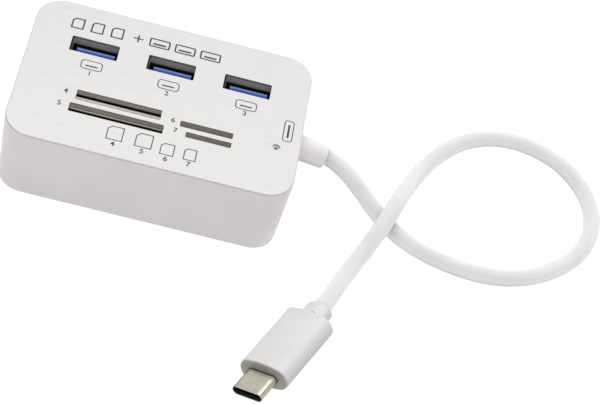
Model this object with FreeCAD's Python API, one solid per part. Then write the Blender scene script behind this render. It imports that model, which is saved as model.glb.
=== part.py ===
import FreeCAD, Part
import math
import os
from FreeCAD import Vector

# A desktop hub with three USB-A sockets and four card slots in its top, and a short USB-C cable.
# Millimetres. The origin is under the middle of the housing, on the surface that it stands on.
# +X points to the cable's side, +Y to the back and +Z up.

# Housing
body_length = 75.0
body_width = 51.4
body_height = 22.0
corner_radius = 7.5
wall_draft = 0.65
bottom_round = 0.4
wall = 2.0
rim_wall = 1.0
floor_thickness = 1.8

# Top deck and face plate
deck_thickness = 1.8
deck_gap = 0.15
plate_thickness = 0.4
plate_inset = 0.15
plate_chamfer = 0.15
opening_corner = 0.35
top_gap = 0.1
socket_gap = 0.12
rib_thickness = 1.0
rib_depth = 2.5

# Feet, posts and screws
foot_diameter = 8.0
foot_thickness = 1.1
foot_recess = 0.9
foot_gap = 0.1
foot_edge = 0.3
post_edge = 8.5
post_diameter = 6.6
post_height = 6.6
boss_diameter = 5.2
screw_diameter = 2.0
screw_length = 9.0
screw_gap = 0.15
screw_head_diameter = 3.8
screw_head_height = 1.6
screw_seat_height = 1.2
screw_recess_size = 1.1
screw_recess_depth = 0.9

# Circuit boards
board_thickness = 1.2
board_lift = 2.0
board_gap = 0.5
support_diameter = 3.0
support_end = 6.5
support_side = 4.7
reader_y = -10.07
reader_x = -1.2
reader_length = 47.0
reader_thickness = 0.6
reader_gap = 0.3
tab_width = 4.0
tab_spread = 32.0
tab_gap = 0.1

# USB-A sockets
usb_names = ("left", "middle", "right")
usb_x = 0.2
usb_shift = 0.6
usb_from_back = 15.25
usb_pitch = 20.6
usb_opening_width = 12.7
usb_opening_height = 5.5
usb_inner_width = 12.5
usb_inner_height = 5.12
usb_sheet = 0.3
usb_base_height = 3.0
usb_base_gap = 0.05
tongue_width = 10.1
tongue_thickness = 1.84
tongue_offset = 0.65
tongue_drop = 0.7
usb_contact_places = (-3.5, -1.0, 1.0, 3.5)
usb_contact_width = 1.0
usb_contact_thickness = 0.2
usb_contact_drop = 0.8
shell_tab_width = 2.0
shell_window_width = 2.2
shell_window_height = 4.6
shell_window_drop = 3.2
shell_window_spread = 6.0

# Card sockets on the rear and the front of the reader board: name, x, y, opening width,
# opening height, pitch of the contacts, and how much the moulded guide and the shell's lip,
# which rise into the slot, narrow it
card_sockets = (
    ("rear_left", -10.5, -7.42, 22.3, 3.53, 2.2, 1.08, 0.0),
    ("front_left", -10.3, -12.15, 24.6, 3.1, 2.5, 0.0, 0.8),
    ("rear_right", 12.8, -8.52, 13.9, 2.05, 1.25, 0.0, 0.0),
    ("front_right", 13.8, -11.87, 12.0, 1.88, 1.4, 0.0, 0.0),
)
card_sheet = 0.25
card_lift = 0.8
card_stop = 1.4
guide_gap = 0.15
guide_sunk = 0.15
lip_sheet = 0.15
lip_sunk = 0.03
card_contact_width = 0.6
card_contact_thickness = 0.15
card_contact_length = 6.0

# Parts on the main board
hub_chip_size = 7.0
hub_chip_height = 0.9
hub_chip_place = (-12.0, 0.6)
reader_chip_length = 9.0
reader_chip_width = 6.0
reader_chip_height = 1.1
reader_chip_place = (9.0, 0.6)
chip_mark_diameter = 0.8
chip_mark_depth = 0.1
crystal_length = 10.5
crystal_width = 4.4
crystal_radius = 2.1
crystal_height = 3.4
crystal_place = (-1.0, 0.6)
capacitor_length = 3.2
capacitor_width = 1.6
capacitor_height = 1.5
capacitor_pitch = 2.6
led_length = 2.6
led_width = 1.8
led_height = 0.9

# Indicator
indicator_from_end = 6.3
indicator_y = -8.5
pipe_diameter = 2.0
pipe_gap = 0.05
pipe_flange_diameter = 3.6
pipe_flange_height = 1.0
pipe_sunk = 0.4
pipe_dimple_diameter = 1.2
pipe_dimple_depth = 0.6

# Strain relief and the wires behind it
relief_y = 3.5
relief_height = 11.85
relief_tilt = 8.0
relief_neck_diameter = 6.0
relief_neck_overlap = 1.0
relief_diameter = 7.0
relief_length = 7.75
relief_gap = 0.1
relief_chamfer = 0.3
relief_flange_diameter = 9.0
relief_flange_thickness = 1.6
relief_seat_depth = 0.5
wire_diameter = 1.0
wire_places = (-1.8, -0.6, 0.6, 1.8)
wire_reach = 3.0

# Cable and plug
cable_diameter = 4.6
arc_share = 0.45
plug_length = 22.2
plug_width = 13.8
plug_thickness = 7.8
plug_side_radius = 3.5
plug_front_round = 0.8
plug_back_round = 0.5
plug_roll = 21.0
collar_length = 4.7
collar_width = 7.3
collar_thickness = 5.3
collar_side_radius = 2.3
collar_notch_length = 0.9
collar_notch_width = 1.2
collar_notch_depth = 0.45
collar_notch_place = 0.1
collar_notch_shift = 0.7
tip_length = 7.2
tip_width = 8.34
tip_thickness = 2.56
tip_sheet = 0.2
tip_root = 3.0
tip_gap = 0.05
tip_sunk = 0.4
tip_slot_width = 6.6
tip_slot_thickness = 0.8
tip_slot_depth = 5.2
tip_contact_count = 10
tip_contact_pitch = 0.6
tip_contact_width = 0.3
tip_contact_thickness = 0.1
tip_contact_length = 4.0

# Places and heights that follow from the sizes above
base_z = foot_thickness - foot_recess
body_top = base_z + body_height
usb_y = body_width / 2 - usb_from_back
indicator_x = body_length / 2 - indicator_from_end
case_top = body_top - plate_thickness
deck_seat = case_top - deck_thickness
floor_top = base_z + floor_thickness
post_top = floor_top + post_height
screw_seat = floor_top + screw_seat_height
board_bottom = floor_top + board_lift
board_top = board_bottom + board_thickness
socket_top = case_top - top_gap
card_bottom = board_top + card_lift
relief_z = base_z + relief_height
exit_z = relief_z - relief_length * math.sin(math.radians(relief_tilt))
cable_radius = cable_diameter / 2
plug_z = plug_side_radius + (plug_width / 2 - plug_side_radius) * math.sin(math.radians(plug_roll))
over_z = cable_radius + 2 * cable_diameter

# Points of the cable: x and y from the end of the strain relief, z from the floor
cable_route = (
    (0.0, 0.0, exit_z),
    (3.2, 0.0, exit_z - 3.2 * math.tan(math.radians(relief_tilt))),
    (7.0, -1.6, 9.7),
    (11.4, -4.4, 7.2),
    (15.8, -7.6, 4.0),
    (20.8, -11.4, cable_radius),
    (27.2, -15.8, cable_radius),
    (36.6, -19.1, cable_radius),
    (47.2, -20.3, cable_radius),
    (57.8, -18.2, cable_radius),
    (67.4, -12.2, cable_radius),
    (74.7, -3.4, cable_radius),
    (77.8, 8.0, cable_radius),
    (75.2, 19.2, cable_radius),
    (67.8, 28.0, cable_radius),
    (57.8, 32.3, cable_radius),
    (47.2, 31.8, cable_radius),
    (37.9, 26.6, cable_radius),
    (30.8, 17.6, cable_radius),
    (25.9, 7.0, 4.8),
    (22.2, -4.6, over_z),
    (18.4, -16.6, over_z),
    (14.2, -25.6, 6.4),
    (10.3, -34.6, 4.8),
    (7.5, -42.9, plug_z),
    (5.654, -46.856, plug_z),
)


def box(x, y, z_low, size_x, size_y, size_z):
    """A box with its middle at x, y and its bottom at z_low."""
    return Part.makeBox(size_x, size_y, size_z, Vector(x - size_x / 2, y - size_y / 2, z_low))


def span_box(x, size_x, y_a, y_b, z_low, z_high):
    """A box between two y values and two heights, with its middle at x."""
    corner = Vector(x - size_x / 2, min(y_a, y_b), z_low)
    return Part.makeBox(size_x, abs(y_b - y_a), z_high - z_low, corner)


def rod(x, y, z_low, diameter, height):
    """An upright cylinder."""
    return Part.makeCylinder(diameter / 2, height, Vector(x, y, z_low))


def rod_x(x_low, y, z, diameter, length):
    """A cylinder that lies along X."""
    return Part.makeCylinder(diameter / 2, length, Vector(x_low, y, z), Vector(1, 0, 0))


def rounded_wire(length, width, radius, z):
    """A rectangle with round corners, about the Z axis."""
    mid_x = length / 2 - radius
    mid_y = width / 2 - radius
    corners = ((mid_x, mid_y), (-mid_x, mid_y), (-mid_x, -mid_y), (mid_x, -mid_y))
    edges = []
    ends = []
    for quarter, (x, y) in enumerate(corners):
        points = []
        for part in (0, 1, 2):
            angle = math.radians(90 * quarter + 45 * part)
            points.append(Vector(x + radius * math.cos(angle), y + radius * math.sin(angle), z))
        edges.append(Part.Arc(points[0], points[1], points[2]).toShape())
        ends.append((points[0], points[2]))
    loop = []
    for quarter in range(4):
        loop.append(edges[quarter])
        start = ends[quarter][1]
        finish = ends[(quarter + 1) % 4][0]
        if start.distanceToPoint(finish) > 1e-6:
            loop.append(Part.LineSegment(start, finish).toShape())
    return Part.Wire(loop)


def rounded_block(x, y, z_low, length, width, radius, height):
    """An upright block with round vertical edges."""
    block = Part.Face(rounded_wire(length, width, radius, 0)).extrude(Vector(0, 0, height))
    block.translate(Vector(x, y, z_low))
    return block


def rounded_bar(length, width, thickness, radius, x_low):
    """A bar along X with a rounded section: width along Y and thickness along Z."""
    bar = Part.Face(rounded_wire(thickness, width, radius, 0)).extrude(Vector(0, 0, length))
    bar.rotate(Vector(0, 0, 0), Vector(0, 1, 0), 90)
    bar.translate(Vector(x_low, 0, 0))
    return bar


def oval_wire(width, thickness, side_radius, x):
    """A crowned section across X at x: two side arcs joined smoothly by two flatter arcs."""
    side_y = width / 2 - side_radius
    crown = (side_y ** 2 + thickness ** 2 / 4 - side_radius ** 2) / (thickness - 2 * side_radius)
    crown_z = crown - thickness / 2
    join_y = side_y * crown / (crown - side_radius)
    join_z = side_radius * crown_z / (crown - side_radius)
    joins = [Vector(x, join_y, join_z), Vector(x, -join_y, join_z),
             Vector(x, -join_y, -join_z), Vector(x, join_y, -join_z)]
    middles = [Vector(x, 0, thickness / 2), Vector(x, -width / 2, 0),
               Vector(x, 0, -thickness / 2), Vector(x, width / 2, 0)]
    arcs = []
    for i in range(4):
        arcs.append(Part.Arc(joins[i], middles[i], joins[(i + 1) % 4]).toShape())
    return Part.Wire(arcs)


def oval_bar(length, width, thickness, side_radius, x_low):
    """A bar along X with a crowned section."""
    return Part.Face(oval_wire(width, thickness, side_radius, x_low)).extrude(Vector(length, 0, 0))


def inset_at(z):
    """How far the drafted outside lies inside its top outline at a height."""
    return wall_draft * (body_top - z) / body_height


def drafted_block(depth, z_low, z_high):
    """The housing's form between two heights, a given depth inside its outside."""
    wires = []
    for z in (z_low, z_high):
        inset = inset_at(z) + depth
        radius = corner_radius - inset
        wires.append(rounded_wire(body_length - 2 * inset, body_width - 2 * inset, radius, z))
    return Part.makeLoft(wires, True, True)


def edges_at(shape, z):
    """The edges that lie flat at a height."""
    return [e for e in shape.Edges if abs(e.BoundBox.ZMin - z) < 1e-4 and abs(e.BoundBox.ZMax - z) < 1e-4]


def edges_at_x(shape, x):
    """The edges that lie in the plane at x."""
    return [e for e in shape.Edges if abs(e.BoundBox.XMin - x) < 1e-4 and abs(e.BoundBox.XMax - x) < 1e-4]


def post_places():
    """The four corners that hold a post, a screw and a foot."""
    x = body_length / 2 - post_edge
    y = body_width / 2 - post_edge
    return {
        "front_left": (-x, -y),
        "front_right": (x, -y),
        "rear_left": (-x, y),
        "rear_right": (x, y),
    }


def support_places():
    """Where pins on the case's floor carry the main board."""
    x = body_length / 2 - support_end
    y = body_width / 2 - support_side
    return ((-x, 0), (x, 0), (0, y), (0, -y))


def opening_places():
    """The x of each USB opening in the plate."""
    return [usb_x + (i - 1) * usb_pitch for i in range(len(usb_names))]


def usb_places():
    """Name and x of each USB socket, which sits a little to the right of its opening."""
    return [(name, x + usb_shift) for name, x in zip(usb_names, opening_places())]


def relief_seat_x():
    """The plane inside the right wall that the strain relief's flange seats on."""
    return body_length / 2 - inset_at(relief_z) - wall + relief_seat_depth


def relief_root():
    """The middle of the sleeve's tilted inner end, just clear of the outside of the right wall."""
    drop = relief_diameter / 2 * math.sin(math.radians(relief_tilt))
    return Vector(body_length / 2 - inset_at(relief_z) + relief_gap + drop, relief_y, relief_z)


def relief_end_x():
    """The outer end of the strain relief, where the cable starts."""
    return relief_root().x + relief_length * math.cos(math.radians(relief_tilt))


def lower_case():
    """The drafted tray: walls, floor, rebate for the deck, posts, board pins and cable hole."""
    case = drafted_block(0, base_z, case_top)
    case = case.makeFillet(bottom_round, edges_at(case, base_z))
    case = case.cut(drafted_block(wall, floor_top, deck_seat))
    case = case.cut(drafted_block(rim_wall, deck_seat, case_top))
    root = base_z + foot_recess
    for x, y in post_places().values():
        case = case.fuse(rod(x, y, root, post_diameter, post_top - root))
    for x, y in support_places():
        case = case.fuse(rod(x, y, root, support_diameter, board_bottom - root))
    for x, y in post_places().values():
        case = case.cut(rod(x, y, base_z, foot_diameter + 2 * foot_gap, foot_recess))
        case = case.cut(rod(x, y, base_z, screw_head_diameter + 2 * screw_gap, screw_seat - base_z))
        case = case.cut(rod(x, y, base_z, screw_diameter + 2 * screw_gap, post_top - base_z))
    hole = relief_neck_diameter + 2 * relief_gap
    seat = relief_flange_diameter + 2 * relief_gap
    case = case.cut(rod_x(relief_seat_x(), relief_y, relief_z, hole, relief_end_x() - relief_seat_x()))
    case = case.cut(rod_x(relief_seat_x() - wall, relief_y, relief_z, seat, wall))
    return case.removeSplitter()


def card_side(socket):
    """The side of the reader board that a card socket is on: 1 for its rear, -1 for its front."""
    return 1 if socket[0].startswith("rear") else -1


def card_spans(socket):
    """The reader board's face, the card's space and the shell's outside, along y."""
    name, x, y, width, height, pitch, guide, lip = socket
    side = card_side(socket)
    face = reader_y + side * reader_thickness / 2
    near = y - side * (height / 2 - guide)
    far = y + side * (height / 2 - lip)
    return face, near, far, far + side * card_sheet


def top_deck():
    """The moulded deck inside the case's rim, with ribs, socket holes and four screw bosses."""
    deck = drafted_block(rim_wall + deck_gap, deck_seat, case_top)
    rib_length = body_length - 2 * post_edge
    for y in (body_width / 2 - post_edge, post_edge - body_width / 2):
        deck = deck.fuse(box(0, y, deck_seat - rib_depth, rib_length, rib_thickness, rib_depth))
    for x, y in post_places().values():
        deck = deck.fuse(rod(x, y, post_top, boss_diameter, deck_seat - post_top + deck_thickness / 2))
        deck = deck.cut(rod(x, y, post_top, screw_diameter + 2 * screw_gap, screw_length))
    outer_x = usb_inner_width + 2 * usb_sheet + 2 * socket_gap
    outer_y = usb_inner_height + 2 * usb_sheet + 2 * socket_gap
    for name, x in usb_places():
        deck = deck.cut(box(x, usb_y, deck_seat, outer_x, outer_y, deck_thickness))
    for socket in card_sockets:
        side = card_side(socket)
        face, near, far, outside = card_spans(socket)
        width = socket[3] + 2 * card_sheet + 2 * socket_gap
        y_a = face - side * socket_gap
        y_b = outside + side * socket_gap
        deck = deck.cut(span_box(socket[1], width, y_a, y_b, deck_seat, case_top))
    deck = deck.cut(rod(indicator_x, indicator_y, deck_seat, pipe_diameter + 2 * pipe_gap, deck_thickness))
    return deck.removeSplitter()


def face_plate():
    """The metal plate that covers the whole top, with seven openings and the indicator hole."""
    length = body_length - 2 * plate_inset
    width = body_width - 2 * plate_inset
    plate = rounded_block(0, 0, case_top, length, width, corner_radius - plate_inset, plate_thickness)
    plate = plate.makeChamfer(plate_chamfer, edges_at(plate, body_top))
    for x in opening_places():
        plate = plate.cut(rounded_block(x, usb_y, case_top, usb_opening_width, usb_opening_height,
                                        opening_corner, plate_thickness))
    for name, x, y, width, height, pitch, guide, lip in card_sockets:
        plate = plate.cut(rounded_block(x, y, case_top, width, height, opening_corner, plate_thickness))
    hole = pipe_diameter + 2 * pipe_gap
    return plate.cut(rod(indicator_x, indicator_y, case_top, hole, plate_thickness))


def cover_screws():
    """Four pan-head screws that pull the deck down on the posts from below."""
    screws = []
    for x, y in post_places().values():
        head = rod(x, y, screw_seat - screw_head_height, screw_head_diameter, screw_head_height)
        shank = rod(x, y, screw_seat, screw_diameter, screw_length)
        screw = head.fuse(shank).removeSplitter()
        low = screw_seat - screw_head_height
        for turn in (0, 90):
            cross = box(x, y, low, screw_recess_size * 2, screw_recess_size / 2, screw_recess_depth)
            cross.rotate(Vector(x, y, low), Vector(0, 0, 1), turn)
            screw = screw.cut(cross)
        screws.append(screw)
    return Part.Compound(screws)


def foot(x, y):
    """A rubber disc in its recess, with a bevelled lower edge."""
    disc = rod(x, y, 0, foot_diameter, foot_thickness)
    return disc.makeChamfer(foot_edge, edges_at(disc, 0))


def main_board():
    """The board that lies on the floor's pins, with holes for the posts, tabs and socket legs."""
    board = drafted_block(wall + board_gap, board_bottom, board_top)
    for x, y in post_places().values():
        board = board.cut(rod(x, y, board_bottom, post_diameter + 2 * board_gap, board_thickness))
    for x in (reader_x - tab_spread / 2, reader_x + tab_spread / 2):
        board = board.cut(box(x, reader_y, board_bottom, tab_width + 2 * tab_gap,
                              reader_thickness + 2 * tab_gap, board_thickness))
    for name, x in usb_places():
        for leg_x in shell_leg_places(x):
            board = board.cut(box(leg_x, usb_y, board_bottom, usb_sheet + 2 * tab_gap,
                                  shell_tab_width + 2 * tab_gap, board_thickness))
    return board


def reader_board():
    """The upright board between the card sockets, with two tabs in the main board."""
    top = deck_seat - reader_gap
    board = box(reader_x, reader_y, board_top, reader_length, reader_thickness, top - board_top)
    for x in (reader_x - tab_spread / 2, reader_x + tab_spread / 2):
        board = board.fuse(box(x, reader_y, board_bottom, tab_width, reader_thickness, board_thickness))
    return board.removeSplitter()


def shell_leg_places(x):
    """The x of the two legs of a USB shell, in its end walls."""
    reach = usb_inner_width / 2 + usb_sheet / 2
    return (x - reach, x + reach)


def usb_shell(x):
    """A folded sheet tube with spring windows in its broad walls and two legs through the board."""
    outer_x = usb_inner_width + 2 * usb_sheet
    outer_y = usb_inner_height + 2 * usb_sheet
    height = socket_top - board_top
    shell = box(x, usb_y, board_top, outer_x, outer_y, height)
    shell = shell.cut(box(x, usb_y, board_top, usb_inner_width, usb_inner_height, height))
    window_z = socket_top - shell_window_drop - shell_window_height
    for window_x in (x - shell_window_spread / 2, x + shell_window_spread / 2):
        shell = shell.cut(box(window_x, usb_y, window_z, shell_window_width, outer_y, shell_window_height))
    for leg_x in shell_leg_places(x):
        shell = shell.fuse(box(leg_x, usb_y, board_bottom, usb_sheet, shell_tab_width, board_thickness))
    return shell.removeSplitter()


def tongue_y():
    """The middle of the tongue, near the front wall of its shell."""
    return usb_y - usb_inner_height / 2 + tongue_offset + tongue_thickness / 2


def usb_insulator(x):
    """The base in the bottom of the shell and the tongue that stands on it."""
    base = box(x, usb_y, board_top, usb_inner_width - 2 * usb_base_gap,
               usb_inner_height - 2 * usb_base_gap, usb_base_height)
    tongue_height = socket_top - tongue_drop - board_top
    tongue = box(x, tongue_y(), board_top, tongue_width, tongue_thickness, tongue_height)
    return base.fuse(tongue).removeSplitter()


def usb_contacts(x):
    """Four strips on the open side of the tongue."""
    face = tongue_y() + tongue_thickness / 2
    low = board_top + usb_base_height
    high = socket_top - tongue_drop - usb_contact_drop
    strips = []
    for place in usb_contact_places:
        strips.append(span_box(x + place, usb_contact_width, face, face + usb_contact_thickness, low, high))
    return Part.Compound(strips)


def card_shell(socket):
    """A sheet channel round three sides of a card slot, with a lip where its outer wall is in the slot."""
    name, x, y, width, height, pitch, guide, lip = socket
    face, near, far, outside = card_spans(socket)
    shell = span_box(x, width + 2 * card_sheet, face, outside, card_bottom, socket_top)
    shell = shell.cut(span_box(x, width, face, far, card_bottom, socket_top))
    if lip > lip_sheet:
        edge = far + card_side(socket) * lip_sheet
        lip_top = body_top - lip_sunk
        shell = shell.fuse(span_box(x, width - 2 * guide_gap, far, edge, socket_top, lip_top))
    return shell.removeSplitter()


def card_base(socket):
    """The moulded base on the reader board, with its guide in the slot, and the stop under the card."""
    name, x, y, width, height, pitch, guide, lip = socket
    face, near, far, outside = card_spans(socket)
    base = span_box(x, width, face, near, card_bottom, socket_top)
    stop = span_box(x, width, near, far, card_bottom, card_bottom + card_stop)
    base = base.fuse(stop)
    if guide > guide_gap:
        edge = y - card_side(socket) * (height / 2 - guide_gap)
        guide_top = body_top - guide_sunk
        base = base.fuse(span_box(x, width - 2 * guide_gap, edge, near, socket_top, guide_top))
    return base.removeSplitter()


def card_contacts(socket):
    """A row of strips on the base's inner face, as many as the slot's width takes."""
    name, x, y, width, height, pitch, guide, lip = socket
    face, near, far, outside = card_spans(socket)
    count = int(width / pitch)
    front = near + card_side(socket) * card_contact_thickness
    low = card_bottom + card_stop
    strips = []
    for i in range(count):
        strip_x = x + (i - (count - 1) / 2) * pitch
        strips.append(span_box(strip_x, card_contact_width, near, front, low, low + card_contact_length))
    return Part.Compound(strips)


def chip(place, length, width, height):
    """A moulded chip with a pin-one mark."""
    x, y = place
    body = box(x, y, board_top, length, width, height)
    mark_x = x - length / 2 + chip_mark_diameter
    mark_y = y - width / 2 + chip_mark_diameter
    top = board_top + height
    return body.cut(rod(mark_x, mark_y, top - chip_mark_depth, chip_mark_diameter, chip_mark_depth))


def crystal():
    """A flat metal can with round ends."""
    x, y = crystal_place
    return rounded_block(x, y, board_top, crystal_length, crystal_width, crystal_radius, crystal_height)


def capacitors():
    """Three small blocks in each of the two spaces between the USB sockets."""
    middle = usb_x + usb_shift
    blocks = []
    for x in (middle - usb_pitch / 2, middle + usb_pitch / 2):
        for y in (usb_y - capacitor_pitch, usb_y, usb_y + capacitor_pitch):
            blocks.append(box(x, y, board_top, capacitor_length, capacitor_width, capacitor_height))
    return Part.Compound(blocks)


def light_pipe():
    """A clear rod from the lamp on the board to the plate's hole, with a flange and a dimpled top."""
    low = board_top + led_height
    top = body_top - pipe_sunk
    pipe = rod(indicator_x, indicator_y, low, pipe_diameter, top - low)
    flange = rod(indicator_x, indicator_y, deck_seat - pipe_flange_height, pipe_flange_diameter,
                 pipe_flange_height)
    dimple = rod(indicator_x, indicator_y, top - pipe_dimple_depth, pipe_dimple_diameter, pipe_dimple_depth)
    return pipe.fuse(flange).removeSplitter().cut(dimple)


def strain_relief():
    """A sleeve that droops a little, with a neck through the right wall and a flange inside."""
    seat = relief_seat_x()
    sleeve = rod_x(0, 0, 0, relief_diameter, relief_length)
    sleeve = sleeve.makeChamfer(relief_chamfer, edges_at_x(sleeve, relief_length))
    sleeve.rotate(Vector(0, 0, 0), Vector(0, 1, 0), relief_tilt)
    sleeve.translate(relief_root())
    reach = relief_root().x + relief_neck_overlap - seat
    neck = rod_x(seat, relief_y, relief_z, relief_neck_diameter, reach)
    flange = rod_x(seat - relief_flange_thickness, relief_y, relief_z, relief_flange_diameter,
                   relief_flange_thickness)
    return sleeve.fuse([neck, flange]).removeSplitter()


def cable_leads():
    """The wires that run from the strain relief's flange and turn down to the main board."""
    start_x = relief_seat_x() - relief_flange_thickness
    turn_x = start_x - wire_reach
    wires = []
    for place in wire_places:
        y = relief_y + place
        run = rod_x(turn_x, y, relief_z, wire_diameter, wire_reach)
        drop = rod(turn_x, y, board_top, wire_diameter, relief_z - board_top)
        bend = Part.makeSphere(wire_diameter / 2, Vector(turn_x, y, relief_z))
        wires.append(run.fuse([drop, bend]).removeSplitter())
    return Part.Compound(wires)


def route_points():
    """The cable's points in the part's own frame."""
    return [Vector(relief_end_x() + x, relief_y + y, z) for x, y, z in cable_route]


def cable():
    """A tube along straight runs joined by arcs as large as the runs allow."""
    points = route_points()
    edges = []
    radii = []
    start = points[0]
    for before, corner, after in zip(points, points[1:], points[2:]):
        run_in = corner.sub(before)
        run_out = after.sub(corner)
        turn = run_in.getAngle(run_out)
        reach = arc_share * min(run_in.Length, run_out.Length)
        radii.append(reach / math.tan(turn / 2))
        arc_start = corner.sub(run_in.normalize().multiply(reach))
        arc_end = corner.add(run_out.normalize().multiply(reach))
        inward = arc_start.add(arc_end).multiply(0.5).sub(corner)
        depth = radii[-1] / math.cos(turn / 2) - radii[-1]
        middle = corner.add(inward.normalize().multiply(depth))
        edges.append(Part.LineSegment(start, arc_start).toShape())
        edges.append(Part.Arc(arc_start, middle, arc_end).toShape())
        start = arc_end
    edges.append(Part.LineSegment(start, points[-1]).toShape())
    path = Part.Wire(edges)
    ring = Part.Wire(Part.makeCircle(cable_radius, points[0], points[1].sub(points[0])))
    tube = path.makePipeShell([ring], True, False)
    print("cable length", round(path.Length, 1), "radii", [round(r, 1) for r in radii])
    print("cable volume", round(tube.Volume), "section times length",
          round(math.pi * cable_radius ** 2 * path.Length))
    return tube


def lay_plug(shape):
    """Move a shape from the plug's own frame, with its back end at the origin, to the cable's end."""
    points = route_points()
    last_run = points[-1].sub(points[-2])
    heading = math.degrees(math.atan2(last_run.y, last_run.x))
    shape.rotate(Vector(0, 0, 0), Vector(1, 0, 0), plug_roll)
    shape.rotate(Vector(0, 0, 0), Vector(0, 0, 1), heading)
    shape.translate(points[-1])
    return shape


def plug_collar():
    """The short neck behind the plug, with four notches round it that let it bend."""
    collar = oval_bar(collar_length, collar_width, collar_thickness, collar_side_radius, 0)
    x = collar_length - collar_notch_place - collar_notch_length / 2
    for side in (-1, 1):
        y = side * (collar_width - collar_notch_depth) / 2
        collar = collar.cut(box(x, y, -collar_thickness / 2, collar_notch_length, collar_notch_depth,
                                collar_thickness))
        low = side * (collar_thickness - collar_notch_depth) / 2 - collar_notch_depth / 2
        collar = collar.cut(box(x, collar_notch_shift, low, collar_notch_length, collar_notch_width,
                                collar_notch_depth))
    return lay_plug(collar)


def plug_overmould():
    """The grip of the plug, with round ends and a pocket for the metal tip."""
    front = collar_length + plug_length
    grip = oval_bar(plug_length, plug_width, plug_thickness, plug_side_radius, collar_length)
    grip = grip.makeFillet(plug_front_round, edges_at_x(grip, front))
    grip = grip.makeFillet(plug_back_round, edges_at_x(grip, collar_length))
    pocket = rounded_bar(tip_root, tip_width + 2 * tip_gap, tip_thickness + 2 * tip_gap,
                         tip_thickness / 2, front - tip_root)
    return lay_plug(grip.cut(pocket))


def tip_bar(inset, x_low, length):
    """The rounded section of the metal tip, made smaller by an inset."""
    thickness = tip_thickness - 2 * inset
    return rounded_bar(length, tip_width - 2 * inset, thickness, thickness / 2 - tip_gap, x_low)


def plug_shell():
    """The metal tube of the tip."""
    root = collar_length + plug_length - tip_root
    length = tip_root + tip_length
    return lay_plug(tip_bar(0, root, length).cut(tip_bar(tip_sheet, root, length)))


def plug_insulator():
    """The moulded filling of the tip, with the slot for the socket's tongue."""
    root = collar_length + plug_length - tip_root
    length = tip_root + tip_length - tip_sunk
    body = tip_bar(tip_sheet + tip_gap, root, length)
    slot = rounded_bar(tip_slot_depth, tip_slot_width, tip_slot_thickness, tip_slot_thickness / 2 - tip_gap,
                       root + length - tip_slot_depth)
    return lay_plug(body.cut(slot))


def plug_contacts():
    """Two rows of strips on the slot's upper and lower walls."""
    front = collar_length + plug_length + tip_length - tip_sunk
    strips = []
    for side in (-1, 1):
        z_mid = side * (tip_slot_thickness - tip_contact_thickness) / 2
        for i in range(tip_contact_count):
            y = (i - (tip_contact_count - 1) / 2) * tip_contact_pitch
            x = front - tip_slot_depth + tip_contact_length / 2
            strips.append(box(x, y, z_mid - tip_contact_thickness / 2, tip_contact_length,
                              tip_contact_width, tip_contact_thickness))
    return lay_plug(Part.Compound(strips))


def build_parts():
    """Every node of the part, by name."""
    parts = {
        "lower_case": lower_case(),
        "top_deck": top_deck(),
        "face_plate": face_plate(),
        "cover_screws": cover_screws(),
        "main_board": main_board(),
        "reader_board": reader_board(),
        "hub_chip": chip(hub_chip_place, hub_chip_size, hub_chip_size, hub_chip_height),
        "reader_chip": chip(reader_chip_place, reader_chip_length, reader_chip_width, reader_chip_height),
        "crystal": crystal(),
        "capacitors": capacitors(),
        "led": box(indicator_x, indicator_y, board_top, led_length, led_width, led_height),
        "light_pipe": light_pipe(),
        "strain_relief": strain_relief(),
        "cable_leads": cable_leads(),
        "cable": cable(),
        "plug_collar": plug_collar(),
        "plug_overmould": plug_overmould(),
        "plug_shell": plug_shell(),
        "plug_insulator": plug_insulator(),
        "plug_contacts": plug_contacts(),
    }
    for name, (x, y) in post_places().items():
        parts["foot_" + name] = foot(x, y)
    for name, x in usb_places():
        parts["usb_shell_" + name] = usb_shell(x)
        parts["usb_insulator_" + name] = usb_insulator(x)
        parts["usb_contacts_" + name] = usb_contacts(x)
    for socket in card_sockets:
        parts["card_shell_" + socket[0]] = card_shell(socket)
        parts["card_base_" + socket[0]] = card_base(socket)
        parts["card_contacts_" + socket[0]] = card_contacts(socket)
    return parts


os.makedirs("parts", exist_ok=True)
for node, shape in build_parts().items():
    shape.exportStep(os.path.join("parts", node + ".step"))
    print(node, "solids", len(shape.Solids), "volume", round(shape.Volume, 1), "valid", shape.isValid())
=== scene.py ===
import math

import bpy
from mathutils import Matrix, Vector


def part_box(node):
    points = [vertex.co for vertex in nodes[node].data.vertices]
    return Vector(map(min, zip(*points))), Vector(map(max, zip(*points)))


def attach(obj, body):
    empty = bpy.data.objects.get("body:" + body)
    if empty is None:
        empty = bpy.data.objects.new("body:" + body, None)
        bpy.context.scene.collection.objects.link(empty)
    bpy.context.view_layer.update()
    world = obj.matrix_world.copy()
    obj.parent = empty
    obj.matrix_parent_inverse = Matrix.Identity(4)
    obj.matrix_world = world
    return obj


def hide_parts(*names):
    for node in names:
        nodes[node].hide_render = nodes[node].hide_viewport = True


# A desktop hub with upright sockets in a brushed metal top and a looped cable with a plug.
# Metres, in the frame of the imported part: +X to the cable's side, +Y to the back, +Z up.

MM = 0.001
UP = Vector((0.0, 0.0, 1.0))
BACK = Vector((0.0, 1.0, 0.0))

# The photograph's camera, for a frame of 600 by 404
camera_place = (0.0005, -0.3522, 0.3766)
camera_aim = (0.0421, -0.0046, 0.0)
camera_roll = math.radians(18.94)
camera_lens = 115.4
camera_sensor = 36.0
camera_nearest = 0.01

# The floor, a little below the feet, and the light
floor_half = 3.0
floor_drop = 0.05 * MM
floor_tone = (0.3, 0.3, 0.3)
floor_roughness = 0.9
floor_glow = 0.95
world_strength = 0.4
lamp_place = (0.1, 0.3, 1.25)
lamp_aim = (0.1, 0.0, 0.0)
lamp_size = 1.7
lamp_power = 26.0

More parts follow.
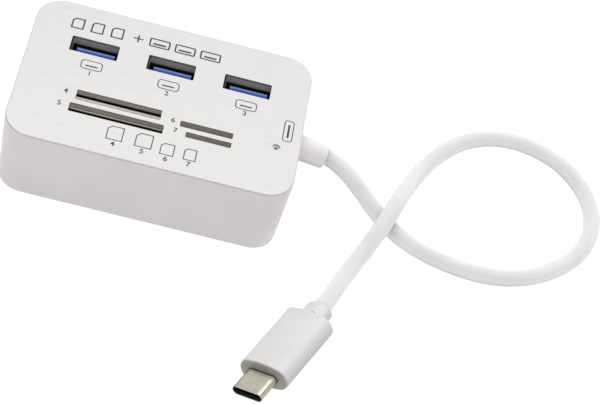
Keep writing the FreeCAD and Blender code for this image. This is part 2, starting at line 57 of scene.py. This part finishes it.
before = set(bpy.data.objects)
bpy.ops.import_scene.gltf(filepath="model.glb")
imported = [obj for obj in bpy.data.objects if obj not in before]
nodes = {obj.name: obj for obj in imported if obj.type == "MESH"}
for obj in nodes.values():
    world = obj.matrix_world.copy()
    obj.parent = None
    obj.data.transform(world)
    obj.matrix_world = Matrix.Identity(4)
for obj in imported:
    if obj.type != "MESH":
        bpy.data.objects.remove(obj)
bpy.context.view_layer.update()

# How far a noise is drawn out along each axis: a small number makes long streaks
even = (1.0, 1.0, 1.0)
along_x = (0.03, 1.0, 1.0)
upright = (1.0, 1.0, 0.1)
half_upright = (1.0, 1.0, 0.2)


def new_material(name, color, roughness, metallic=0.0):
    """A principled material with its constant values set on the shader."""
    material = bpy.data.materials.new(name)
    material.use_nodes = True
    shader = material.node_tree.nodes["Principled BSDF"]
    shader.inputs["Base Color"].default_value = (*color, 1.0)
    shader.inputs["Roughness"].default_value = roughness
    shader.inputs["Metallic"].default_value = metallic
    return material, material.node_tree, shader


def add_node(tree, kind, **values):
    """A node with some of its properties and inputs set by name."""
    node = tree.nodes.new(kind)
    for key, value in values.items():
        if key in node.inputs:
            node.inputs[key].default_value = value
        else:
            setattr(node, key, value)
    return node


def object_noise(tree, scale, detail, stretch=even):
    """Noise in the part's own frame, stretched along its axes."""
    place = add_node(tree, "ShaderNodeTexCoord")
    mapping = add_node(tree, "ShaderNodeMapping", Scale=stretch)
    noise = add_node(tree, "ShaderNodeTexNoise", Scale=scale, Detail=detail)
    tree.links.new(place.outputs["Object"], mapping.inputs["Vector"])
    tree.links.new(mapping.outputs["Vector"], noise.inputs["Vector"])
    return noise


def vary_color(tree, shader, noise, dark, light, low, high):
    """Base colour from dark to light, as a noise goes from low to high."""
    ramp = add_node(tree, "ShaderNodeValToRGB")
    ramp.color_ramp.elements[0].position = low
    ramp.color_ramp.elements[0].color = (*dark, 1.0)
    ramp.color_ramp.elements[1].position = high
    ramp.color_ramp.elements[1].color = (*light, 1.0)
    tree.links.new(noise.outputs["Fac"], ramp.inputs["Fac"])
    tree.links.new(ramp.outputs["Color"], shader.inputs["Base Color"])


def vary_roughness(tree, shader, noise, low, high):
    """Roughness between two values, by a noise."""
    span = add_node(tree, "ShaderNodeMapRange")
    span.inputs["To Min"].default_value = low
    span.inputs["To Max"].default_value = high
    tree.links.new(noise.outputs["Fac"], span.inputs["Value"])
    tree.links.new(span.outputs["Result"], shader.inputs["Roughness"])


def add_bump(tree, shader, noise, strength, distance):
    """Surface relief from a noise."""
    bump = add_node(tree, "ShaderNodeBump", Strength=strength, Distance=distance)
    tree.links.new(noise.outputs["Fac"], bump.inputs["Height"])
    tree.links.new(bump.outputs["Normal"], shader.inputs["Normal"])


def plastic(name, dark, light, roughness):
    """Moulded plastic with broad soft patches and a fine satin grain."""
    material, tree, shader = new_material(name, light, roughness)
    patches = object_noise(tree, scale=60.0, detail=3.0)
    vary_color(tree, shader, patches, dark, light, low=0.35, high=0.65)
    grain = object_noise(tree, scale=2500.0, detail=2.0)
    vary_roughness(tree, shader, grain, low=roughness - 0.05, high=roughness + 0.08)
    add_bump(tree, shader, grain, strength=0.12, distance=0.02 * MM)
    return material


def brushed_metal(name, dark, light, roughness, stretch, scale, metallic=1.0):
    """Metal with fine streaks or an even grain."""
    material, tree, shader = new_material(name, light, roughness, metallic)
    streaks = object_noise(tree, scale, detail=5.0, stretch=stretch)
    vary_color(tree, shader, streaks, dark, light, low=0.3, high=0.7)
    vary_roughness(tree, shader, streaks, low=roughness - 0.06, high=roughness + 0.1)
    add_bump(tree, shader, streaks, strength=0.25, distance=0.01 * MM)
    return material


def sheet_steel(name, dark, light):
    """Stamped sheet of a socket, with faint upright streaks."""
    return brushed_metal(name, dark, light, 0.5, upright, 3000.0, metallic=0.1)


def rim_metal(name):
    """A dark copy of steel for a narrow rim, as painted shade."""
    dark = (0.055, 0.052, 0.05)
    light = (0.075, 0.072, 0.069)
    return brushed_metal(name, dark, light, 0.6, even, 3000.0, metallic=0.2)


def soften(material, depth):
    """Let light spread under a plastic's surface, by a depth."""
    shader = material.node_tree.nodes["Principled BSDF"]
    shader.inputs["Subsurface Weight"].default_value = 1.0
    shader.inputs["Subsurface Radius"].default_value = (1.0, 1.0, 1.0)
    shader.inputs["Subsurface Scale"].default_value = depth


def dull(material, level):
    """Take gloss away from a plastic."""
    shader = material.node_tree.nodes["Principled BSDF"]
    shader.inputs["Specular IOR Level"].default_value = level


# The materials: each has a dark tone, a light tone and a roughness
white_case = plastic("white_case", (0.622, 0.588, 0.618), (0.648, 0.613, 0.644), 0.45)
white_cable = plastic("white_cable", (0.622, 0.612, 0.604), (0.652, 0.642, 0.634), 0.6)
white_relief = plastic("white_relief", (0.685, 0.668, 0.688), (0.715, 0.70, 0.718), 0.5)
white_plug = plastic("white_plug", (0.535, 0.525, 0.522), (0.56, 0.55, 0.547), 0.45)
shaded_plug = plastic("shaded_plug", (0.30, 0.28, 0.252), (0.32, 0.30, 0.27), 0.5)
blue_tongue = plastic("blue_tongue", (0.020, 0.075, 0.40), (0.029, 0.10, 0.49), 0.4)
# Black plastic; it is also laid as painted shade where a gap should look dark, on a card socket's lip
# and in the plug's notches
black_and_painted_shade = plastic("black_and_painted_shade", (0.003, 0.003, 0.003), (0.006, 0.006, 0.006), 0.6)
olive_moulding = plastic("olive_moulding", (0.49, 0.47, 0.457), (0.553, 0.53, 0.52), 0.55)
slot_moulding = plastic("slot_moulding", (0.513, 0.49, 0.44), (0.588, 0.567, 0.508), 0.55)
cream_moulding = plastic("cream_moulding", (0.31, 0.30, 0.265), (0.37, 0.36, 0.315), 0.5)
board_green = plastic("board_green", (0.010, 0.10, 0.035), (0.02, 0.16, 0.06), 0.45)
chip_black = plastic("chip_black", (0.014, 0.014, 0.015), (0.03, 0.03, 0.031), 0.6)
ceramic_tan = plastic("ceramic_tan", (0.34, 0.25, 0.16), (0.46, 0.35, 0.24), 0.5)
foot_rubber = plastic("foot_rubber", (0.16, 0.16, 0.165), (0.22, 0.22, 0.225), 0.8)
wire_red = plastic("wire_red", (0.36, 0.02, 0.015), (0.48, 0.035, 0.025), 0.45)
lamp_white = plastic("lamp_white", (0.70, 0.70, 0.62), (0.80, 0.80, 0.72), 0.3)
pipe_clear = plastic("pipe_clear", (0.42, 0.42, 0.42), (0.51, 0.51, 0.51), 0.3)
ink = plastic("ink", (0.016, 0.016, 0.017), (0.03, 0.03, 0.031), 0.6)
plate_metal = brushed_metal("plate_metal", (0.478, 0.470, 0.462), (0.559, 0.551, 0.542), 0.42,
                            along_x, 5000.0, metallic=0.2)
plate_edge = brushed_metal("plate_edge", (0.555, 0.545, 0.555), (0.63, 0.62, 0.63), 0.5,
                           even, 3000.0, metallic=0.35)
# A darker copy of the plate's metal, as painted shade on the walls of its openings
cut_edge_shade = brushed_metal("cut_edge_shade", (0.42, 0.39, 0.37), (0.52, 0.49, 0.47), 0.5,
                         even, 3000.0, metallic=0.2)
tip_steel = brushed_metal("tip_steel", (0.42, 0.40, 0.33), (0.51, 0.49, 0.405), 0.3,
                          even, 900.0, metallic=0.5)
screw_steel = brushed_metal("screw_steel", (0.45, 0.45, 0.46), (0.6, 0.6, 0.6), 0.35, even, 2000.0)
gold = brushed_metal("gold", (0.70, 0.48, 0.18), (0.85, 0.63, 0.30), 0.3, half_upright, 2500.0)
socket_steel = sheet_steel("socket_steel", (0.55, 0.50, 0.47), (0.64, 0.588, 0.555))
# A darker copy of the socket steel, as painted shade on the sockets' side walls
side_steel_shade = sheet_steel("side_steel_shade", (0.36, 0.33, 0.31), (0.42, 0.385, 0.365))
card_steel = sheet_steel("card_steel", (0.57, 0.545, 0.52), (0.652, 0.627, 0.594))
# A lighter copy of the card steel for one card socket's far wall, as painted light; lower down it is
# darkened as painted shade
slot_steel_light_and_shade = sheet_steel("slot_steel_light_and_shade", (0.73, 0.695, 0.63), (0.80, 0.765, 0.70))
# Dark steel as painted shade, on the sockets' upper rims and in the plug's mouth
socket_rim_shade = rim_metal("socket_rim_shade")
tip_mouth_shade = rim_metal("tip_mouth_shade")

soften(white_cable, 5.0 * MM)
soften(white_relief, 5.0 * MM)
dull(white_cable, 0.15)
dull(white_relief, 0.15)
dull(blue_tongue, 0.15)
dull(black_and_painted_shade, 0.1)

# The material of each node, by the longest of these beginnings that its name has
by_start = {
    "lower_case": white_case,
    "top_deck": black_and_painted_shade,
    "face_plate": plate_metal,
    "cover_screws": screw_steel,
    "foot_": foot_rubber,
    "main_board": board_green,
    "reader_board": board_green,
    "hub_chip": chip_black,
    "reader_chip": chip_black,
    "crystal": screw_steel,
    "capacitors": ceramic_tan,
    "led": lamp_white,
    "light_pipe": pipe_clear,
    "strain_relief": white_relief,
    "cable_leads": wire_red,
    "cable": white_cable,
    "plug_collar": white_plug,
    "plug_overmould": white_plug,
    "plug_shell": tip_steel,
    "plug_insulator": black_and_painted_shade,
    "plug_contacts": gold,
    "usb_shell": socket_steel,
    "usb_insulator": blue_tongue,
    "usb_contacts": gold,
    "card_shell": card_steel,
    "card_shell_rear_left": slot_steel_light_and_shade,
    "card_base": olive_moulding,
    "card_base_rear_left": cream_moulding,
    "card_base_front_left": slot_moulding,
    "card_contacts": gold,
}


def paint(piece, material):
    """Give every slot of a piece one material."""
    if not piece.data.materials:
        piece.data.materials.append(material)
    for slot in piece.material_slots:
        slot.material = material


for name, piece in nodes.items():
    start = max((s for s in by_start if name.startswith(s)), key=len)
    paint(piece, by_start[start])

# How closely a face's normal keeps to a direction, for the face to count as turned that way
roughly = 0.5
mostly = 0.6
nearly = 0.9
exactly = 0.999

# The plate's outer strip, in thicknesses of the plate
strip_thicknesses = 4


def mark_faces(piece, material, chosen):
    """Give one more material to the faces of a piece that a test chooses."""
    piece.data.materials.append(material)
    added = len(piece.data.materials) - 1
    for face in piece.data.polygons:
        if chosen(face):
            face.material_index = added


def paint_edges(plate):
    """Give the plate's outer edge its own tone, and paint shade on the walls of its openings with a
    darker metal.
    """
    low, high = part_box("face_plate")
    outer_strip = strip_thicknesses * (high.z - low.z)

    def is_wall(face):
        return abs(face.normal.z) < roughly

    def is_inside(face):
        in_x = low.x + outer_strip < face.center.x < high.x - outer_strip
        in_y = low.y + outer_strip < face.center.y < high.y - outer_strip
        return in_x and in_y

    mark_faces(plate, plate_edge, lambda face: is_wall(face) and not is_inside(face))
    mark_faces(plate, cut_edge_shade, lambda face: is_wall(face) and is_inside(face))


def paint_socket(shell):
    """Paint shade on the upper rim and the side walls of a socket's shell, with darker copies of its
    steel.
    """
    def is_rim(face):
        return face.normal.z > roughly

    def is_side(face):
        return abs(face.normal.x) > roughly and not is_rim(face)

    mark_faces(shell, socket_rim_shade, is_rim)
    mark_faces(shell, side_steel_shade, is_side)


def paint_lip(shell):
    """Paint the top and the outer face of a card socket's lip black, as painted shade for the gap
    there.
    """
    mark_faces(shell, black_and_painted_shade, lambda face: face.normal.z > roughly or face.normal.y < -roughly)


def base_color(material):
    """A material's node tree, the input of its base colour and what feeds that input."""
    tree = material.node_tree
    color = tree.nodes["Principled BSDF"].inputs["Base Color"]
    return tree, color, color.links[0].from_socket


def darken_below(material, z_dark, z_light, tone):
    """Paint shade into a material's colour: it goes to a dark tone below a height."""
    tree, color, source = base_color(material)
    place = add_node(tree, "ShaderNodeTexCoord")
    split = add_node(tree, "ShaderNodeSeparateXYZ")
    span = add_node(tree, "ShaderNodeMapRange")
    span.inputs["From Min"].default_value = z_dark
    span.inputs["From Max"].default_value = z_light
    mix = add_node(tree, "ShaderNodeMix", data_type="RGBA")
    mix.inputs["A"].default_value = (*tone, 1.0)
    tree.links.new(place.outputs["Object"], split.inputs["Vector"])
    tree.links.new(split.outputs["Z"], span.inputs["Value"])
    tree.links.new(span.outputs["Result"], mix.inputs["Factor"])
    tree.links.new(source, mix.inputs["B"])
    tree.links.new(mix.outputs["Result"], color)


def ramp_along(tree, direction, start, end, stops, by="Object"):
    """A run of colours from start to end along one direction, by a point's place or by its normal."""
    place = add_node(tree, "ShaderNodeTexCoord")
    along = add_node(tree, "ShaderNodeVectorMath", operation="DOT_PRODUCT")
    along.inputs[1].default_value = direction
    span = add_node(tree, "ShaderNodeMapRange")
    span.inputs["From Min"].default_value = start
    span.inputs["From Max"].default_value = end
    ramp = add_node(tree, "ShaderNodeValToRGB")
    elements = ramp.color_ramp.elements
    elements[0].color = (*stops[0][1], 1.0)
    elements[1].color = (*stops[-1][1], 1.0)
    for position, color in stops[1:-1]:
        elements.new(position).color = (*color, 1.0)
    tree.links.new(place.outputs[by], along.inputs[0])
    tree.links.new(along.outputs["Value"], span.inputs["Value"])
    tree.links.new(span.outputs["Result"], ramp.inputs["Fac"])
    return ramp


def shade_tongue(near, far):
    """Paint shade and a highlight into the tongue's blue: deep at its near side, pale at its far edge.
    """
    tree, color, _ = base_color(blue_tongue)
    ramp = ramp_along(tree, BACK, near, far, tongue_shade_and_highlight_stops)
    tree.links.new(ramp.outputs["Color"], color)


def lay_bands(material, direction, start, end, shares, by="Object"):
    """Make a material's colour lighter or darker in bands along one direction."""
    tree, color, source = base_color(material)
    stops = [(place, (share, share, share)) for place, share in shares]
    ramp = ramp_along(tree, direction, start, end, stops, by)
    mix = add_node(tree, "ShaderNodeMix", data_type="RGBA", blend_type="MULTIPLY")
    mix.inputs["Factor"].default_value = 1.0
    tree.links.new(source, mix.inputs["A"])
    tree.links.new(ramp.outputs["Color"], mix.inputs["B"])
    tree.links.new(mix.outputs["Result"], color)


# Shade inside the openings: depths below the plate's top, and places from front to back
plate_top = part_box("face_plate")[1].z
shadow_tone = (0.004, 0.004, 0.004)
shadow_depths = (
    (slot_steel_light_and_shade, 1.62 * MM, 1.70 * MM),
    (olive_moulding, 2.0 * MM, 2.5 * MM),
    (socket_steel, 2.1 * MM, 2.7 * MM),
    (side_steel_shade, 2.1 * MM, 2.7 * MM),
)
slot_depth = 3.0 * MM
pipe_top_depth = 0.4 * MM
pipe_low_depth = 1.0 * MM
ledge_near = -9.035 * MM
ledge_far = -8.105 * MM
usb_low, usb_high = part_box("usb_shell_middle")
tongue_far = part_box("usb_contacts_middle")[0].y
tongue_thickness = 1.84 * MM

# Bands: a place from 0 to 1 along the band's direction, and the share of the colour there.
# The tongue's stops hold whole colours.
round_shade_shares = ((0.0, 0.6), (0.35, 0.72), (0.5, 0.97), (0.65, 1.04), (1.0, 0.88))
side_shade_shares = ((0.0, 0.1), (0.45, 0.15), (0.7, 0.8), (1.0, 1.0))
pipe_light_and_shade_shares = ((0.0, 1.15), (0.5, 1.6), (0.9, 1.2), (1.0, 0.62))
slot_shade_and_highlight_shares = ((0.0, 1.0), (0.50, 1.0), (0.53, 0.55), (0.60, 0.55), (0.63, 2.4), (0.75, 2.4),
               (0.78, 0.02), (1.0, 0.02))
ledge_shares = ((0.0, 0.5), (0.25, 0.5), (0.32, 1.05), (1.0, 1.05))
tongue_shade_and_highlight_stops = ((0.0, (0.003, 0.014, 0.10)), (0.45, (0.009, 0.034, 0.185)),
                (0.75, (0.042, 0.103, 0.35)), (1.0, (0.14, 0.24, 0.53)))

paint_edges(nodes["face_plate"])
for side in ("left", "middle", "right"):
    paint_socket(nodes["usb_shell_" + side])
paint_lip(nodes["card_shell_front_left"])
for material, light_depth, dark_depth in shadow_depths:
    darken_below(material, plate_top - dark_depth, plate_top - light_depth, shadow_tone)
# Painted shade by which way the surface faces: the cable and the strain relief are darker where they
# face down, and a little darker where they face straight up
for material in (white_cable, white_relief):
    lay_bands(material, UP, -1.0, 1.0, round_shade_shares, "Normal")
# Painted shade on the sockets' side walls and rims: very dark at the front, lighter towards the back
for material in (side_steel_shade, socket_rim_shade):
    lay_bands(material, BACK, usb_low.y, usb_high.y, side_shade_shares)
# Painted light and shade in the light pipe's dimple: a lighter band below the top, and darker deeper
# down
lay_bands(pipe_clear, UP, plate_top - pipe_top_depth, plate_top - pipe_low_depth, pipe_light_and_shade_shares)
# Painted shade and a painted highlight on the front left card socket's wall: a dark band, a bright
# line below it, then near black deeper down
lay_bands(slot_moulding, UP, plate_top, plate_top - slot_depth, slot_shade_and_highlight_shares)
lay_bands(cream_moulding, BACK, ledge_near, ledge_far, ledge_shares)
shade_tongue(tongue_far - tongue_thickness, tongue_far)

# The cable: x and y from the end of the strain relief, z from the floor
cable_exit = Vector((0.04546, 0.0035, 0.01097))
cable_diameter = 0.0046
plug_low, plug_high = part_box("plug_collar")
lie_z = cable_diameter / 2
over_z = 0.0076
plug_z = (plug_low.z + plug_high.z) / 2
cable_route = (
    (0.0, 0.0, cable_exit.z),
    (0.0020, -0.0002, cable_exit.z - 0.0003),
    (0.0066, -0.0022, 0.0094),
    (0.0112, -0.0048, 0.0069),
    (0.0158, -0.0076, 0.0040),
    (0.0208, -0.0114, lie_z),
    (0.0272, -0.0158, lie_z),
    (0.0366, -0.0191, lie_z),
    (0.0472, -0.0203, lie_z),
    (0.0578, -0.0182, lie_z),
    (0.0674, -0.0122, lie_z),
    (0.0747, -0.0034, lie_z),
    (0.0778, 0.0080, lie_z),
    (0.0752, 0.0192, lie_z),
    (0.0678, 0.0280, lie_z),
    (0.0578, 0.0323, lie_z),
    (0.0472, 0.0318, lie_z),
    (0.0379, 0.0266, lie_z),
    (0.0308, 0.0176, lie_z),
    (0.0259, 0.0070, 0.0038),
    (0.0222, -0.0046, over_z),
    (0.0184, -0.0166, over_z),
    (0.0142, -0.0256, 0.0046),
    (0.0103, -0.0346, 0.0042),
    (0.0075, -0.0429, plug_z),
    (0.005654, -0.046856, plug_z),
)


def make_cable():
    """One smooth line through the route, with the jacket's round section."""
    curve = bpy.data.curves.new("cable_jacket", "CURVE")
    curve.dimensions = "3D"
    curve.resolution_u = 16
    curve.bevel_depth = cable_diameter / 2
    curve.bevel_resolution = 10
    curve.use_fill_caps = True
    line = curve.splines.new("NURBS")
    line.points.add(len(cable_route) - 1)
    for point, (x, y, z) in zip(line.points, cable_route):
        point.co = (cable_exit.x + x, cable_exit.y + y, z, 1.0)
    line.order_u = 3
    line.use_endpoint_u = True
    jacket = bpy.data.objects.new("cable_jacket", curve)
    bpy.context.scene.collection.objects.link(jacket)
    curve.materials.append(white_cable)
    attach(jacket, "root")
    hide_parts("cable")


make_cable()

# The plug's own directions: ahead to its tip, to its raised side, and up through it
plug_roll = math.radians(21.0)
plug_ahead = (Vector(cable_route[-1]) - Vector(cable_route[-2])).normalized()
plug_left = UP.cross(plug_ahead)
plug_side = plug_left * math.cos(plug_roll) + UP * math.sin(plug_roll)
plug_up = UP * math.cos(plug_roll) - plug_left * math.sin(plug_roll)
plug_back = Vector((cable_exit.x + cable_route[-1][0], cable_exit.y + cable_route[-1][1], plug_z))

# The plug's sizes
collar_length = 4.7 * MM
collar_width = 7.3 * MM
collar_thickness = 5.3 * MM
notch_length = 0.9 * MM
notch_depth = 0.45 * MM
notch_place = 0.1 * MM
grip_length = 22.2 * MM
tip_width = 8.34 * MM

# The plug's painted shade: places from its middle line, and bands as in the sockets
upper_rim = 1.0 * MM
notch_reach = 1.1 * notch_length
grip_light = 2.5 * MM
grip_dark = -2.0 * MM
grip_shade_shares = ((0.0, 1.0), (0.35, 0.95), (0.75, 0.79), (1.0, 0.62))
tip_light = 0.6 * MM
tip_dark = -0.9 * MM
tip_shade_shares = ((0.0, 1.0), (0.3, 0.9), (0.5, 0.55), (0.7, 0.28), (1.0, 0.2))
tip_band = 1.0 * MM
root_shade_shares = ((0.0, 0.12), (0.28, 0.12), (0.42, 1.0), (1.0, 1.0))
far_shade_shares = ((0.0, 0.25), (0.75, 0.25), (0.92, 1.0), (1.0, 1.0))


def paint_front(grip):
    """Give the plug's front face its shaded look."""
    mark_faces(grip, shaded_plug, lambda face: face.normal.dot(plug_ahead) > mostly)


def paint_mouth(shell):
    """Paint shade on the inside of the plug's tip and on its rim, except above, with a dark steel."""
    def is_dark(face):
        out = face.center - plug_back
        out = out - plug_ahead * out.dot(plug_ahead)
        is_inside = face.normal.dot(out) < 0.0
        is_rim = face.normal.dot(plug_ahead) > nearly
        is_upper = out.dot(plug_up) > upper_rim
        return is_inside or is_rim and not is_upper

    mark_faces(shell, tip_mouth_shade, is_dark)


def paint_notches(collar):
    """Paint the notches of the plug's neck black, as painted shade in their hollows."""
    def in_notch(face):
        place = face.center - plug_back
        behind = collar_length - place.dot(plug_ahead)
        deep_side = abs(place.dot(plug_side)) < (collar_width - notch_depth) / 2
        deep_up = abs(place.dot(plug_up)) < (collar_thickness - notch_depth) / 2
        is_wall = abs(face.normal.dot(plug_ahead)) > nearly
        is_side_floor = abs(face.normal.dot(plug_side)) > exactly and deep_side
        is_up_floor = abs(face.normal.dot(plug_up)) > exactly and deep_up
        is_near = notch_place / 2 < behind < notch_place + notch_reach
        return is_near and (is_wall or is_side_floor or is_up_floor)

    mark_faces(collar, black_and_painted_shade, in_notch)


def shade_plug():
    """Shade the plug's grip and tip below, and the tip at its root and far side."""
    middle = plug_back.dot(plug_up)
    root = plug_back.dot(plug_ahead) + collar_length + grip_length
    far = plug_back.dot(plug_side) - tip_width / 2
    lay_bands(white_plug, plug_up, middle + grip_light, middle + grip_dark, grip_shade_shares)
    lay_bands(tip_steel, plug_up, middle + tip_light, middle + tip_dark, tip_shade_shares)
    lay_bands(tip_steel, plug_ahead, root, root + tip_band, root_shade_shares)
    lay_bands(tip_steel, plug_side, far, far + tip_band, far_shade_shares)


paint_front(nodes["plug_overmould"])
paint_mouth(nodes["plug_shell"])
paint_notches(nodes["plug_collar"])
shade_plug()

# Print on the plate: plain numbers and simple pictograms, in millimetres on the plate's top
print_lift = 0.02
thin_line = 0.26
thick_line = 0.42
figure_size = 2.3
figure_weight = 0.03

# A row of cards, a plus and a row of ports along the back
row_y = 18.0
row_cards = (-26.3, -21.0, -15.7)
row_card_size = (3.0, 3.6)
plus_x = -10.0
plus_width = 2.6
plus_arm = 1.1
row_ports = (-4.2, 2.7, 9.6)
row_port_size = (5.2, 2.8)
row_port_round = 0.3
row_bar_size = (3.4, 0.6)
row_bar_drop = 0.45

# A port before each USB opening, with its number
usb_marks = ((-19.9, 3.9), (0.6, 3.7), (21.45, 3.5))
usb_mark_size = (5.5, 3.1)
usb_mark_round = 0.9
usb_bar_size = (3.3, 0.45)
usb_bar_drop = 0.35
usb_figure_drop = 3.0

# A card for each card slot, as x, y, width and height, and the place of the number beside each slot
card_marks = ((-9.5, -17.5, 4.0, 4.6), (-2.0, -17.6, 4.2, 4.6),
              (4.2, -18.6, 3.4, 3.8), (10.1, -18.5, 3.0, 3.8))
card_figure_drop = 1.45
slot_marks = ((-24.4, -7.1), (-25.2, -11.8), (3.9, -8.1), (5.0, -11.4))

# A narrow mark at the cable's side
end_mark = (33.56, -1.87)
end_mark_size = (2.4, 7.45)
end_mark_round = 0.8
end_bar = (33.6, -1.93)
end_bar_size = (0.55, 4.8)

# Keeps a line from reaching too far out at a sharp corner
corner_limit = 0.3


def ribbon(points, width):
    """A closed line of even width: its vertices and faces."""
    verts = []
    count = len(points)
    for i in range(count):
        before = (Vector(points[i]) - Vector(points[i - 1])).normalized()
        after = (Vector(points[(i + 1) % count]) - Vector(points[i])).normalized()
        across = Vector((-before.y - after.y, before.x + after.x)).normalized()
        reach = width / 2 / max(across.dot(Vector((-before.y, before.x))), corner_limit)
        verts += [Vector(points[i]) + across * reach, Vector(points[i]) - across * reach]
    faces = []
    for i in range(count):
        a = 2 * i
        b = 2 * ((i + 1) % count)
        faces.append((a, b, b + 1, a + 1))
    return verts, faces


def rounded_loop(x, y, width, height, radius, steps=5):
    """A rectangle with round corners, as points."""
    points = []
    corners = ((1, 1), (-1, 1), (-1, -1), (1, -1))
    for quarter, (sign_x, sign_y) in enumerate(corners):
        for step in range(steps + 1):
            angle = math.radians(90 * quarter + 90 * step / steps)
            points.append((x + sign_x * (width / 2 - radius) + radius * math.cos(angle),
                           y + sign_y * (height / 2 - radius) + radius * math.sin(angle)))
    return points


def card_loop(x, y, width, height):
    """A card's outline with one corner cut off."""
    cut = width / 4
    left = x - width / 2
    right = x + width / 2
    low = y - height / 2
    high = y + height / 2
    return [(right, high), (left + cut, high), (left, high - cut), (left, low), (right, low)]


def bar_loop(x, y, width, height):
    """A plain bar's outline."""
    return [(x + width / 2, y + height / 2), (x - width / 2, y + height / 2),
            (x - width / 2, y - height / 2), (x + width / 2, y - height / 2)]


class Print:
    """Collects flat shapes and makes one piece of them."""

    def __init__(self):
        self.verts = []
        self.faces = []

    def add(self, verts, faces):
        """One shape, from its own vertices and faces."""
        first = len(self.verts)
        self.verts += [tuple(v) for v in verts]
        self.faces += [tuple(first + i for i in face) for face in faces]

    def outline(self, points, width):
        """A line along a closed loop."""
        self.add(*ribbon(points, width))

    def fill(self, points):
        """A filled loop."""
        self.add(points, [tuple(range(len(points)))])

    def plus(self, x, y):
        """A plus sign: one bar across, and an arm above and below it."""
        rise = (thick_line + plus_arm) / 2
        self.fill(bar_loop(x, y, plus_width, thick_line))
        self.fill(bar_loop(x, y + rise, thick_line, plus_arm))
        self.fill(bar_loop(x, y - rise, thick_line, plus_arm))

    def number(self, figure, x, y):
        """A plain figure."""
        curve = bpy.data.curves.new("figure", "FONT")
        curve.body = str(figure)
        curve.size = figure_size
        curve.align_x = "CENTER"
        curve.align_y = "CENTER"
        curve.offset = figure_weight
        holder = bpy.data.objects.new("figure", curve)
        mesh = bpy.data.meshes.new_from_object(holder)
        verts = [(v.co.x + x, v.co.y + y) for v in mesh.vertices]
        self.add(verts, [tuple(face.vertices) for face in mesh.polygons])
        bpy.data.objects.remove(holder)
        bpy.data.curves.remove(curve)
        bpy.data.meshes.remove(mesh)

    def make(self, name, z):
        """The piece, flat at a height."""
        mesh = bpy.data.meshes.new(name)
        mesh.from_pydata([(x * MM, y * MM, z) for x, y in self.verts], [], self.faces)
        mesh.materials.append(ink)
        piece = bpy.data.objects.new(name, mesh)
        bpy.context.scene.collection.objects.link(piece)
        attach(piece, "root")


def make_print():
    """The marks on the plate's top."""
    marks = Print()
    for x in row_cards:
        marks.outline(card_loop(x, row_y, *row_card_size), thick_line)
    marks.plus(plus_x, row_y)
    for x in row_ports:
        marks.outline(rounded_loop(x, row_y, *row_port_size, row_port_round), thick_line)
        marks.fill(bar_loop(x, row_y - row_bar_drop, *row_bar_size))
    for figure, (x, y) in enumerate(usb_marks, 1):
        marks.outline(rounded_loop(x, y, *usb_mark_size, usb_mark_round), thin_line)
        marks.fill(bar_loop(x, y - usb_bar_drop, *usb_bar_size))
        marks.number(figure, x, y - usb_figure_drop)
    for figure, (mark, place) in enumerate(zip(card_marks, slot_marks), len(usb_marks) + 1):
        x, y, width, height = mark
        marks.outline(card_loop(x, y, width, height), thin_line)
        marks.number(figure, x, y - height / 2 - card_figure_drop)
        marks.number(figure, *place)
    marks.outline(rounded_loop(*end_mark, *end_mark_size, end_mark_round), thin_line)
    marks.fill(bar_loop(*end_bar, *end_bar_size))
    marks.make("plate_marks", plate_top + print_lift * MM)


make_print()


def make_floor():
    """A wide pale floor."""
    mesh = bpy.data.meshes.new("floor")
    corners = ((-1, -1), (1, -1), (1, 1), (-1, 1))
    mesh.from_pydata([(x * floor_half, y * floor_half, 0) for x, y in corners], [], [(0, 1, 2, 3)])
    floor = bpy.data.objects.new("floor", mesh)
    floor.location.z = -floor_drop
    bpy.context.scene.collection.objects.link(floor)
    material, _, shader = new_material("floor", floor_tone, floor_roughness)
    shader.inputs["Emission Color"].default_value = (1.0, 1.0, 1.0, 1.0)
    shader.inputs["Emission Strength"].default_value = floor_glow
    mesh.materials.append(material)


def make_light(name, place, aim, size, power):
    """A square soft box that faces a point."""
    data = bpy.data.lights.new(name, "AREA")
    data.size = size
    data.energy = power
    light = bpy.data.objects.new(name, data)
    light.location = place
    light.rotation_euler = (Vector(aim) - Vector(place)).to_track_quat("-Z", "Y").to_euler()
    bpy.context.scene.collection.objects.link(light)


def make_camera():
    """The photograph's view."""
    data = bpy.data.cameras.new("camera")
    data.lens = camera_lens
    data.sensor_width = camera_sensor
    data.clip_start = camera_nearest
    camera = bpy.data.objects.new("camera", data)
    turn = (Vector(camera_aim) - Vector(camera_place)).to_track_quat("-Z", "Y").to_matrix().to_4x4()
    roll = Matrix.Rotation(camera_roll, 4, "Z")
    camera.matrix_world = Matrix.Translation(camera_place) @ turn @ roll
    bpy.context.scene.collection.objects.link(camera)
    bpy.context.scene.camera = camera


def make_world():
    """Even pale light from all round."""
    world = bpy.data.worlds.new("studio")
    world.use_nodes = True
    background = world.node_tree.nodes["Background"]
    background.inputs["Color"].default_value = (1.0, 1.0, 1.0, 1.0)
    background.inputs["Strength"].default_value = world_strength
    bpy.context.scene.world = world
    bpy.context.scene.view_settings.view_transform = "Standard"


make_floor()
make_world()
make_light("overhead", lamp_place, lamp_aim, lamp_size, lamp_power)
make_camera()
